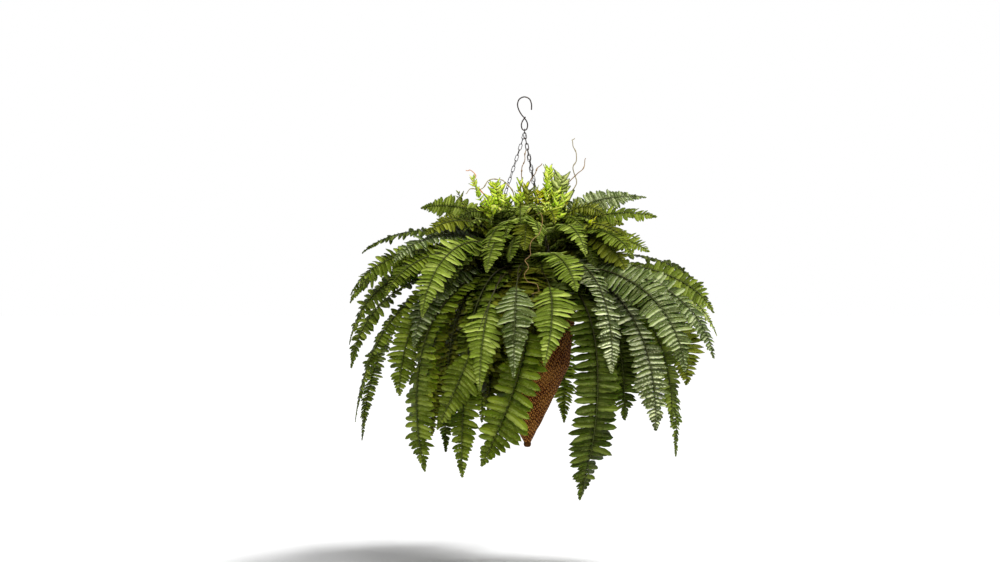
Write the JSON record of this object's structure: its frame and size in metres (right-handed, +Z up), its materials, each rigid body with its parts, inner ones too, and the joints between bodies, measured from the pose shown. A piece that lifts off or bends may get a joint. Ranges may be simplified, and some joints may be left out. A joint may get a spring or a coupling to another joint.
{
  "type": "boston fern hanging basket",
  "caption": "Boston fern with long arching fronds in a pointed woven basket, hung on three chains from a wire hook with a closed eye.",
  "frame": {"origin": "seat of the hook, the inner top of its bend, where it rests on whatever holds it up", "axes": "+Z up along the hanging line, -Y towards the front, +X to the right as seen from the front"},
  "size_m": [1.0306, 0.8642, 1.0781],
  "materials": {
    "bronze_wire": "satin dark bronze",
    "woven_rope": "matte braided fibre",
    "moss": "matte dark moss and peat",
    "frond_green": "satin leaf",
    "young_green": "satin leaf, thin and translucent",
    "twig_bark": "matte bark"
  },
  "bodies": {
    "root": {"basket": "woven_rope", "chain_back": "bronze_wire", "chain_front": "bronze_wire", "chain_left": "bronze_wire", "frond_back_1": "frond_green", "frond_back_2": "frond_green", "frond_back_3": "frond_green", "frond_back_4": "frond_green", "frond_back_5": "frond_green", "frond_front_1": "frond_green", "frond_front_2": "frond_green", "frond_front_3": "frond_green", "frond_front_4": "frond_green", "frond_front_5": "frond_green", "frond_front_6": "frond_green", "frond_front_7": "frond_green", "frond_front_8": "frond_green", "frond_left_1": "frond_green", "frond_left_2": "frond_green", "frond_left_3": "frond_green", "frond_left_4": "frond_green", "frond_left_5": "frond_green", "frond_left_6": "frond_green", "frond_left_7": "frond_green", "frond_left_8": "frond_green", "frond_left_9": "frond_green", "frond_left_front_1": "frond_green", "frond_left_front_2": "frond_green", "frond_left_front_3": "frond_green", "frond_left_front_4": "frond_green", "frond_left_front_5": "frond_green", "frond_left_front_6": "frond_green", "frond_left_front_7": "frond_green", "frond_right_1": "frond_green", "frond_right_2": "frond_green", "frond_right_3": "frond_green", "frond_right_4": "frond_green", "frond_right_5": "frond_green", "frond_right_6": "frond_green", "frond_right_7": "frond_green", "frond_right_front_1": "frond_green", "frond_right_front_2": "frond_green", "frond_right_front_3": "frond_green", "frond_right_front_4": "frond_green", "frond_right_front_5": "frond_green", "gather_ring": "bronze_wire", "hanging_hook": "bronze_wire", "soil": "moss", "twig_1": "twig_bark", "twig_2": "twig_bark", "twig_3": "twig_bark", "twig_4": "twig_bark", "twig_5": "twig_bark", "twig_6": "twig_bark", "young_frond_1": "young_green", "young_frond_2": "young_green", "young_frond_3": "young_green", "young_frond_4": "young_green"}
  },
  "joints": []
}
